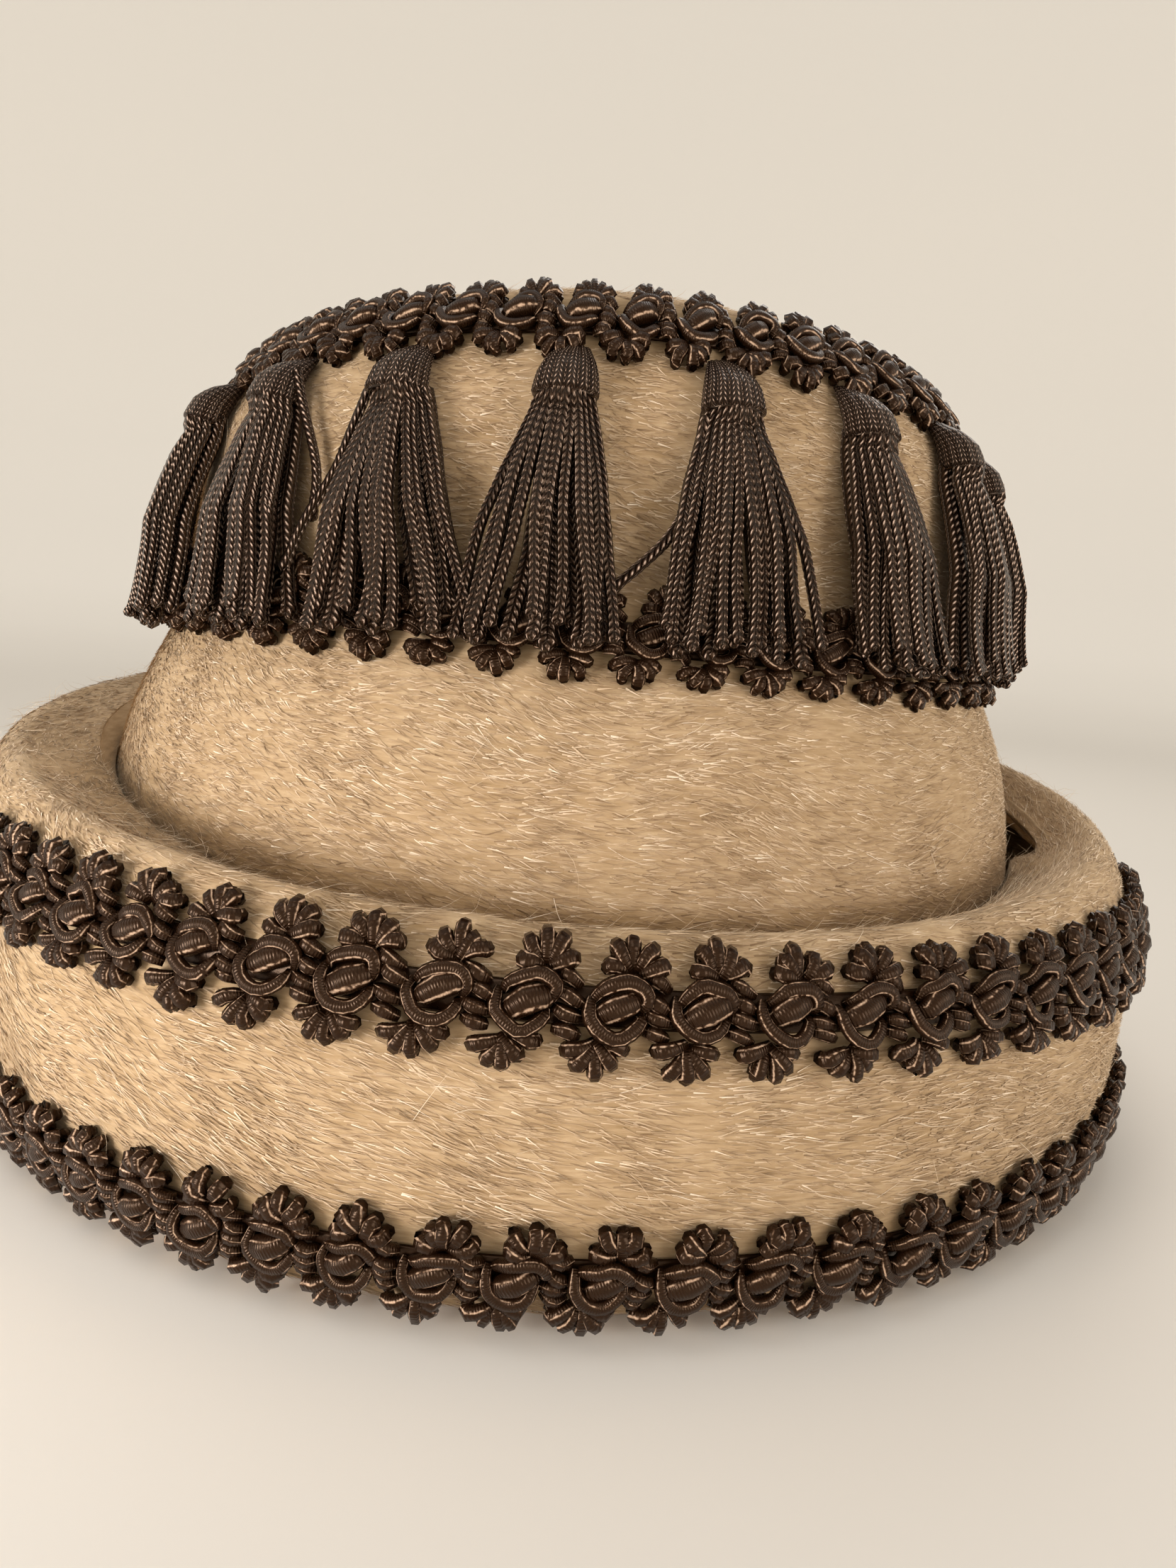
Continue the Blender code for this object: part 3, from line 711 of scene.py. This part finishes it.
def stray_hairs(name, charts, material):
    """Longer fine hairs that stand out of the nap, three-sided and bent, thinning to the tip."""
    heap = Heap()
    rings, sides = 4, 3
    t = np.linspace(0, 1, rings)
    for chart, count, climbs, lifts, bare, seed in charts:
        draw = np.random.default_rng(seed)
        around, climb = draw.uniform(0, chart.total, count), draw.uniform(*climbs, count)
        keep = ~bare(climb, chart.lay(around, climb, np.zeros(count)))
        around, climb = around[keep][:, None], climb[keep][:, None]
        count = len(around)
        lean, length = draw.normal(-0.1, 0.5, (count, 1)), draw.uniform(*STRAY_LENGTH, (count, 1))
        bend, lift = draw.normal(0, 0.8, (count, 1)), draw.uniform(*lifts, (count, 1))
        paths = np.stack((around + length * t * np.cos(lean + bend * t / 2),
                          climb + length * t * np.sin(lean + bend * t / 2), 0.1 + lift * t ** 1.5), -1)
        points, faces, uvs = sweep(paths, STRAY_RADIUS * (1.1 - t) + 0 * paths[..., 0], sides)
        heap.add(chart.lay(points[..., 0], points[..., 1], points[..., 2]), faces, uvs,
                 np.repeat(draw.uniform(0.55, 1.0, count), rings * sides))
    heap.build(name, material)


# Gimp braid


def fan(hub, degrees, lengths):
    """Control points of the loops of a fan: each rises from the hub, and rolls over and back at its tip."""
    loops = []
    for turn, length in zip(degrees, lengths):
        way = (math.cos(math.radians(turn)), math.sin(math.radians(turn)))
        loops.append([(hub[0] + way[0] * length * share, hub[1] + way[1] * length * share, lift)
                      for share, lift in LOOP_PROFILE])
    return loops


def belt(chart, climbs, lifts, columns):
    """A closed strip around the hat through the given climbs and lifts, the last joined to the first."""
    around = np.linspace(0, chart.total, columns, endpoint=False) + np.zeros((len(climbs), 1))
    climbs, lifts = (np.array(values)[:, None] + 0 * around for values in (climbs, lifts))
    return chart.lay(around, climbs, lifts), grid_faces(len(climbs) + 1, columns) % around.size


def gimp(node, chart, motifs, first, material, seed):
    """A ring of gimp braid: the cords of one motif, laid around the hat, each time a little different."""
    draw = np.random.default_rng(seed)
    pitch = chart.total / motifs
    middles = chart.at(first) + pitch * np.arange(motifs)
    heap = Heap()
    for controls, radii, rings, sides in MOTIF:
        whole = draw.normal(0, MOTIF_SHIFT, (motifs, 1, 3))
        shift = whole + draw.normal(0, POINT_SHIFT, (motifs, len(controls), 3))
        controls = np.array(controls)[None] + shift * (1, 1, 0.7)
        radii = np.interp(np.linspace(0, 1, rings), np.linspace(0, 1, len(radii)), radii)
        radii = radii * draw.uniform(*MOTIF_SPREAD, (motifs, 1))
        points, faces, uvs = sweep(along_path(controls, rings), radii, sides)
        around = middles[:, None, None] + points[..., 0] * pitch / MOTIF_PITCH
        climb, lift = BRAID_WIDTH / 2 + points[..., 1], np.maximum(points[..., 2], 0.05)
        heap.add(chart.lay(around, climb, lift), faces, uvs)
    # A dark strip under the cords: the braid's ground, also standing in for the shade in the gaps between
    # them.
    heap.add(*belt(chart, BELT_CLIMBS, BELT_LIFTS, BELT_COLUMNS))
    heap.build(node + "_gimp", material, node)


# Radii of a motif's cords from end to end
HOOK_RADII, SPINDLE_RADII = (0.65, 0.95, 1.0, 0.95, 0.65), (0.8, 1.5, 1.8, 1.5, 0.8)
RUNG_RADII, FAN_RADII = (0.8, 1.05, 0.8), (0.75, 1.0, 1.12, 1.08, 0.85)

# Cords of a motif: points around, up and off the felt from the braid's middle, radii, rings and sides
MOTIF = [
    (((-2.6, 1.2, 0.9), (-1.7, 2.1, 2.0), (0.0, 3.0, 2.7), (1.9, 3.3, 2.8), (3.5, 2.7, 2.7),
      (4.1, 1.5, 2.5), (3.4, 0.5, 1.4)), HOOK_RADII, 14, 7),
    (((-3.2, 1.2, 1.0), (-3.4, 0.3, 2.0), (-3.2, -1.0, 2.6), (-2.0, -2.6, 2.8), (-0.1, -3.3, 2.8),
      (1.8, -2.65, 2.6), (2.9, -1.3, 1.9), (2.9, -0.7, 1.0)), HOOK_RADII, 14, 7),
    (((-2.5, -1.2, 1.2), (-1.3, -0.6, 2.1), (0.4, 0.2, 2.4), (2.3, 0.95, 2.2), (3.4, 1.35, 1.5)),
     SPINDLE_RADII, 9, 9),
    (((3.9, 3.9, 1.2), (5.3, 3.3, 2.4), (6.9, 2.5, 1.2)), RUNG_RADII, 6, 6),
    (((4.2, 1.6, 1.3), (5.6, 1.0, 2.3), (7.1, 0.3, 1.2)), RUNG_RADII, 6, 6),
    (((3.7, -0.7, 1.2), (5.2, -1.1, 2.1), (7.0, -1.6, 1.1)), RUNG_RADII, 6, 6),
    (((3.7, -2.5, 1.0), (5.2, -2.7, 2.1), (6.6, -3.3, 1.0)), RUNG_RADII, 6, 6),
]
# The two fans of a motif: hub, and the direction and the length of each loop
for shell in (((2.3, 4.1), (165, 128, 91, 54, 14), (3.6, 3.8, 3.9, 3.9, 4.1)),
              ((-2.1, -4.2), (-10, -49, -87, -124, -163), (3.6, 3.8, 3.9, 3.9, 4.2))):
    MOTIF += [(loop, FAN_RADII, 7, 7) for loop in fan(*shell)]


# Tassels


def tuft(drop, column):
    """A size of the tassel's outer form at a drop, from its table."""
    return np.interp(drop, TASSEL_TUFTS[:, 0], TASSEL_TUFTS[:, column])


def skirt_cords(draw, share, depth, broad, lean, rings):
    """Paths of the cords of a skirt in the chart's space, fanned out from under the head.

    A cord's place across the tassel is its share of the half breadth. Its lift follows an oval, at its depth.
    """
    count = len(share)
    ends = 1.0 + draw.uniform(*CORD_ENDS, count)
    drop = NECK + (ends[:, None] - NECK) * np.linspace(0, 1, rings)
    spread = np.interp(drop, SKIRT[:, 0], SKIRT[:, 1]) * (1 + (broad - 1) * drop)
    bunch = CORD_BUNCH * np.sin(3.2 * math.pi * share[:, None] + draw.uniform(0, 6.3))
    share = share[:, None] + (bunch + draw.normal(0, CORD_MESS, (count, 1))) * drop
    bends, begin = draw.uniform(5, 9, (count, 1)), draw.uniform(0, 6.3, (count, 1))
    sway = CORD_SWAY * np.sin(drop * bends + begin) * (drop - NECK)
    across = share * (spread / 2 - CORD_RADIUS) + TASSEL_BROAD * lean * drop + sway
    room = TASSEL_DEEP * tuft(drop, 2) - 2 * CORD_RADIUS
    stand = TRIM_GAP + (BRAID_THICK + TRIM_GAP) * tuft(drop, 3)
    rise = room * depth * np.sqrt(1 - 0.8 * np.minimum(1, share ** 2))
    lift = stand + CORD_RADIUS + rise + draw.normal(0, LIFT_MESS, (count, 1)) * drop
    return np.stack((across, -TASSEL_LENGTH * drop, lift), -1)


def plaited(draw, paths, sides, thick=1.0):
    """Plaited cords along paths, some times thicker: swollen at each stitch, with a loose knot at the end."""
    run, start = run_length(paths, 1), draw.uniform(0, STITCH, (len(paths), 1))
    swell = 1 + 0.07 * np.cos(2 * math.pi * (run + start) / STITCH)
    end = np.clip((run - run[:, -1:] + CORD_KNOT) / CORD_KNOT, 0, 1)
    knot = (1 + 0.25 * np.sin(math.pi * end) * (end > 0)) * np.where(end >= 1, 0.45, 1.0)
    return sweep(paths, thick * CORD_RADIUS * swell * knot, sides, start)


def tassel(number, chart, material):
    """One tassel: a knitted cap over the gathered cords, a thread bound round its neck, and the skirt."""
    draw = np.random.default_rng(100 + number)
    middle = chart.at(TASSEL_FIRST_AT) + chart.total * (number - 1) / TASSELS
    broad, lean = TASSEL_HANGS.get(number, (1.0, 0.0))
    heap = Heap()

    def put(points, faces, uvs=None):
        fall = np.clip(-points[..., 1] / TASSEL_LENGTH, 0, 1)
        aside = HEAD_ASIDE.get(number, 0.0) * (1 - fall) + FOOT_ASIDE.get(number, 0.0) * fall
        heap.add(chart.lay(middle + points[..., 0] + aside, points[..., 1], points[..., 2]), faces, uvs)

    front, back = np.linspace(-0.98, 0.98, FRONT_CORDS), np.linspace(-0.9, 0.9, BACK_CORDS)
    put(*plaited(draw, skirt_cords(draw, front, 1.0, broad, lean, FRONT_RINGS), CORD_SIDES))
    put(*plaited(draw, skirt_cords(draw, back, BACK_DEPTH, broad, lean, BACK_RINGS), CORD_SIDES, BACK_THICK))
    for controls in STRAY_CORDS.get(number, ()):
        across, drop, lift = np.array(controls).T
        path = np.stack((across, -TASSEL_LENGTH * drop, lift), -1)[None]
        put(*plaited(draw, along_path(path, STRAY_RINGS), STRAY_SIDES))
    put(*knitted_cap())
    put(*bind())
    heap.build(f"tassel_{number:02d}_cords", material, f"tassel_{number:02d}")


def knitted_cap():
    """The cap over a tassel's gathered cords: a flared tube of knitted columns, closed at both ends.

    Each knitted column is three faces wide, and its UV crosses the middle part of a cord's, so that it shows
    one V.
    """
    columns = 3 * CAP_KNITS
    drop = np.interp(np.linspace(0, len(CAP) - 1, CAP_ROWS), np.arange(len(CAP)), CAP[:, 0])[:, None]
    turn = 2 * math.pi * np.arange(columns) / columns
    half, deep = np.interp(drop, CAP[:, 0], CAP[:, 1]) / 2, np.interp(drop, CAP[:, 0], CAP[:, 2]) / 2
    knit = KNIT_LIFT * np.sin(turn * CAP_KNITS / 2) ** 2
    points = np.stack(((half + knit) * np.cos(turn), -TASSEL_LENGTH * drop + 0 * turn,
                       TRIM_GAP + deep + (deep + knit * (turn < math.pi)) * np.sin(turn)), -1)
    face = 0.70 / 3
    left = 0.15 + face * (np.arange(columns) % 3) + 0 * drop[1:]
    low, high = (CAP_STITCHES * TASSEL_LENGTH * part + 0 * left for part in (drop[:-1], drop[1:]))
    uv = np.stack((np.stack((low, left), -1), np.stack((low, left + face), -1),
                   np.stack((high, left + face), -1), np.stack((high, left), -1)), -2).reshape(-1, 4, 2)
    ring = np.arange(columns)[None]
    faces = [grid_faces(CAP_ROWS, columns)[:, ::-1], ring, ring[:, ::-1] + (CAP_ROWS - 1) * columns]
    return points, faces, [uv[:, ::-1], None, None]


def bind():
    """The thread round a tassel's neck: a closed ring, round across."""
    sides, rings = 5, 24
    turn, wind = 2 * math.pi * np.arange(sides) / sides, 2 * math.pi * np.arange(rings) / rings
    half, deep = (np.interp(BIND_AT, CAP[:, 0], CAP[:, k]) / 2 for k in (1, 2))
    middle = (0.0, -TASSEL_LENGTH * BIND_AT, TRIM_GAP + deep)
    way = np.stack((np.cos(wind), 0 * wind, np.sin(wind)), -1)[:, None]
    out, down = BIND_RADIUS * np.cos(turn)[:, None], BIND_RADIUS * np.sin(turn)[:, None]
    points = middle + way * ((half, 1.0, deep) + out) + down * (0.0, 1.0, 0.0)
    return points, grid_faces(rings + 1, sides) % (rings * sides)


# Camera, light and stage


def camera():
    """The camera at the photograph's viewpoint, turned by the yaw, pitch and roll that were fitted."""
    cp, sp = math.cos(CAMERA_PITCH), math.sin(CAMERA_PITCH)
    cr, sr = math.cos(CAMERA_ROLL), math.sin(CAMERA_ROLL)
    cy, sy = math.cos(CAMERA_YAW), math.sin(CAMERA_YAW)
    level, up = np.array((cy, -sy, 0.0)), np.array((sp * sy, sp * cy, cp))
    forward = np.array((cp * sy, cp * cy, -sp))
    data = bpy.data.cameras.new("camera")
    data.sensor_width, data.lens = SENSOR, CAMERA_FOCAL_PIXELS * SENSOR / PICTURE_LONG_SIDE
    data.clip_start, data.clip_end = 0.01, 20.0
    obj = bpy.data.objects.new("camera", data)
    turn = np.stack((cr * level - sr * up, sr * level + cr * up, -forward), 1)
    place = Matrix.Translation((0, -CAMERA_BACK * MM, CAMERA_UP * MM))
    obj.matrix_world = place @ Matrix(turn.tolist()).to_4x4()
    bpy.context.scene.collection.objects.link(obj)
    bpy.context.scene.camera = obj


def area_light(name, place, target, size, watts, colour):
    """A square soft light that faces the target."""
    data = bpy.data.lights.new(name, "AREA")
    data.size, data.energy, data.color, data.spread = size, watts, colour, math.pi / 2
    obj = bpy.data.objects.new(name, data)
    way = unit(np.array(target) - np.array(place))
    side = unit(np.cross(way, (0, 0, 1)))
    turn = np.stack((side, np.cross(side, way), -way), 1)
    obj.matrix_world = Matrix.Translation(place) @ Matrix(turn.tolist()).to_4x4()
    bpy.context.scene.collection.objects.link(obj)


def stage():
    """A pale floor that sweeps up into a pale backdrop all round, an even pale sky, and the lights."""
    finish = Finish("stage_paper", (0.86, 0.82, 0.76), 0.95, Specular_IOR_Level=0.1,
                    Emission_Color=(1.0, 0.95, 0.87, 1.0))
    spot = finish.node("ShaderNodeTexCoord").outputs["Object"]
    far = finish.node("ShaderNodeVectorMath", {0: spot}, operation="LENGTH").outputs["Value"]
    glow = {"Value": far, "From Min": GLOW_FROM, "From Max": GLOW_TO, "To Max": GLOW_STRENGTH}
    finish.link(finish.node("ShaderNodeMapRange", glow).outputs[0], "Emission Strength")
    k = np.arange(STAGE_TURNS)
    turn = 2 * math.pi * k / STAGE_TURNS
    radius, height = STAGE_RINGS.T[..., None]
    rings = np.stack((radius * np.cos(turn), radius * np.sin(turn), height + 0 * turn), -1)
    points = np.concatenate((rings.reshape(-1, 3), np.zeros((1, 3))))
    middle = np.stack((k, (k + 1) % STAGE_TURNS, 0 * k + len(points) - 1), -1)[:, ::-1]
    mesh = bpy.data.meshes.new("floor")
    mesh.from_pydata(points.tolist(), [], grid_faces(len(rings), STAGE_TURNS).tolist() + middle.tolist())
    mesh.shade_smooth()
    mesh.materials.append(finish.material)
    floor = bpy.data.objects.new("floor", mesh)
    bpy.context.scene.collection.objects.link(floor)
    world = bpy.data.worlds.new("sky")
    world.use_nodes = True
    sky = world.node_tree.nodes["Background"].inputs
    sky["Color"].default_value, sky["Strength"].default_value = SKY_COLOUR, SKY_STRENGTH
    bpy.context.scene.world = world
    for light in LIGHTS:
        area_light(*light)
    bpy.context.scene.view_settings.view_transform = "Standard"


# The hat


def hat():
    """Every piece of the hat."""
    wall, hair, silk, plait = felt_finish(), nap_finish(), gimp_finish(), plait_finish()
    felt_wall("crown", crown_felt, CROWN_SECTIONS, True, wall)
    felt_wall("brim", brim_felt, BRIM_FOLDS, False, wall)

    crown_belt = Chart(crown_felt, CROWN_SECTIONS, lambda angle: CROWN_BELT[0], *CROWN_BELT[1:])
    brim_belt = Chart(brim_felt, BRIM_FOLDS, lambda angle: BRIM_BELT[0], *BRIM_BELT[1:])
    nap("crown_nap", crown_belt, CROWN_HAIRS, CROWN_ROOTS, crown_bare, hair, 31)
    nap("brim_nap", brim_belt, BRIM_HAIRS, BRIM_ROOTS, brim_bare, hair, 41)
    stray_hairs("stray_hairs", ((crown_belt, STRAY_HAIRS // 2, CROWN_STRAYS, STRAY_LIFT, crown_bare, 51),
                                (brim_belt, STRAY_HAIRS // 2, BRIM_STRAYS, STRAY_LIFT, brim_bare, 52),
                                (brim_belt, LIP_HAIRS, LIP_STRAYS, LIP_LIFT, brim_bare, 53)), hair)

    # Node, felt, table and edge of each braid, its number of motifs, and the direction of the first one
    rings = (("brim_lower_braid", brim_felt, BRIM_FOLDS, lower_edge, 66, -85.65),
             ("brim_upper_braid", brim_felt, BRIM_FOLDS, upper_edge, 66, -86.0),
             ("waist_braid", crown_felt, CROWN_SECTIONS, waist_edge, 50, -82.9),
             ("top_braid", crown_felt, CROWN_SECTIONS, top_edge, 45, -94.1))
    for seed, (node, felt, table, edge, motifs, first) in enumerate(rings):
        chart = Chart(felt, table, edge, -3.0, 21.0)
        chart.set_gauge(BRAID_WIDTH / 2)
        gimp(node, chart, motifs, first, silk, 60 + seed)

    hang = Chart(crown_felt, CROWN_SECTIONS, top_edge, -TASSEL_LENGTH - 6.0, 6.0)
    for number in range(1, TASSELS + 1):
        tassel(number, hang, plait)


def corners(box):
    """A box's corners as plain lists."""
    return [list(corner) for corner in box]


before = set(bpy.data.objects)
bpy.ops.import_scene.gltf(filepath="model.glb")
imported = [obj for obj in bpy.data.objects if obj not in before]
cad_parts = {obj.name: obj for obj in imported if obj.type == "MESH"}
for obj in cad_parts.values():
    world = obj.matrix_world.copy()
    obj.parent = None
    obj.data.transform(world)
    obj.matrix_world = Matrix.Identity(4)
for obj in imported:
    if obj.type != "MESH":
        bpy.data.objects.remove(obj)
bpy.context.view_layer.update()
camera()
stage()
hat()
